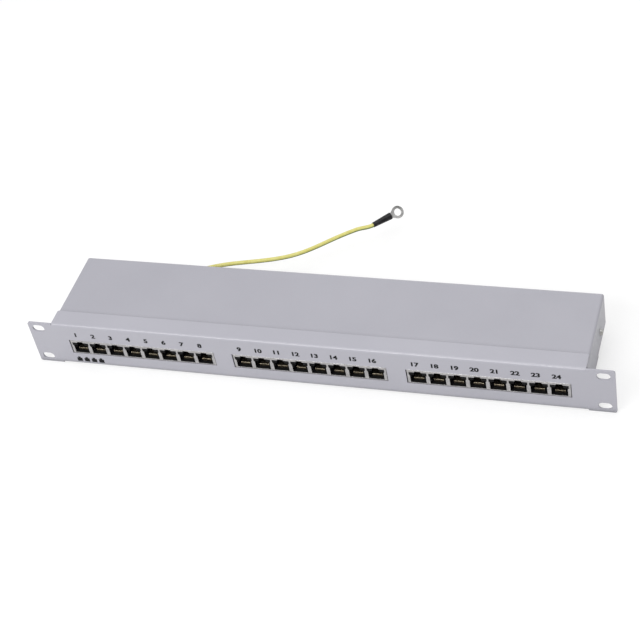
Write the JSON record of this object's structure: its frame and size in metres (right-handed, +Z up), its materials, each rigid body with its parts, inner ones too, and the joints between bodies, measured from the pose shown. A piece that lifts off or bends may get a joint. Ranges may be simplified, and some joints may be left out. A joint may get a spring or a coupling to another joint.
{
  "type": "rack patch panel",
  "caption": "Flat rack-width panel with screened network sockets across its front, wire terminals under a slide-off cover, and a trailing earth lead with a ring.",
  "frame": {"origin": "centre of the four rack slots on the rear face of the ears", "axes": "+X to the right seen from the front, +Y to the rear, +Z up"},
  "size_m": [0.4826, 0.1933, 0.044],
  "materials": {
    "grey_paint": "fine powder coat, satin",
    "bare_steel": "zinc plated",
    "brass": "machined",
    "board_green": "solder mask",
    "nickel": "bright nickel plate",
    "black_plastic": "moulded",
    "gold": "gold plate",
    "tinned_bronze": "tin plate",
    "ivory_plastic": "moulded",
    "tinned_copper": "tin plate",
    "black_sleeve": "shrunk tube",
    "green_yellow": "cable sheath with a green stripe",
    "copper": "stranded copper"
  },
  "bodies": {
    "chassis": {"front_panel": "grey_paint", "base_tray": "grey_paint", "cable_shelf": "grey_paint", "panel_rivets": "bare_steel", "shelf_rivets": "bare_steel", "board_standoffs": "brass", "board_screws": "bare_steel", "circuit_board_left": "board_green", "jack_shield_left": "nickel", "jack_housing_left": "black_plastic", "jack_contacts_left": "gold", "punchdown_blades_left": "tinned_bronze", "punchdown_strip_front_left": "ivory_plastic", "punchdown_strip_rear_left": "ivory_plastic", "circuit_board_middle": "board_green", "jack_shield_middle": "nickel", "jack_housing_middle": "black_plastic", "jack_contacts_middle": "gold", "punchdown_blades_middle": "tinned_bronze", "punchdown_strip_front_middle": "ivory_plastic", "punchdown_strip_rear_middle": "ivory_plastic", "circuit_board_right": "board_green", "jack_shield_right": "nickel", "jack_housing_right": "black_plastic", "jack_contacts_right": "gold", "punchdown_blades_right": "tinned_bronze", "punchdown_strip_front_right": "ivory_plastic", "punchdown_strip_rear_right": "ivory_plastic", "earth_bolt": "bare_steel", "earth_washers": "bare_steel", "earth_nut": "brass"},
    "cover": {"top_cover": "grey_paint", "cover_nuts": "bare_steel"},
    "cover_screw_left": {"cover_screw_left": "bare_steel"},
    "cover_screw_right": {"cover_screw_right": "bare_steel"},
    "earth_lead": {"stud_lug": "tinned_copper", "stud_sleeve": "black_sleeve", "earth_wire": "green_yellow", "earth_wire_core": "copper", "heat_shrink_sleeve": "black_sleeve", "ring_terminal": "tinned_copper"}
  },
  "joints": [
    {"name": "cover_slide", "type": "slide", "parent": "chassis", "child": "cover", "axis": [0, 1, 0], "range_m": [0, 0.085]},
    {"name": "cover_screw_left_turn", "type": "hinge", "parent": "cover", "child": "cover_screw_left", "pos_m": [-0.2202, 0.0585, 0.002], "axis": [1, 0, 0], "continuous": true},
    {"name": "cover_screw_right_turn", "type": "hinge", "parent": "cover", "child": "cover_screw_right", "pos_m": [0.2202, 0.0585, 0.002], "axis": [1, 0, 0], "continuous": true},
    {"name": "earth_lead_swing", "type": "hinge", "parent": "chassis", "child": "earth_lead", "pos_m": [-0.15, 0.0605, -0.013], "axis": [0, 0, 1], "range_deg": [-20, 35]}
  ]
}
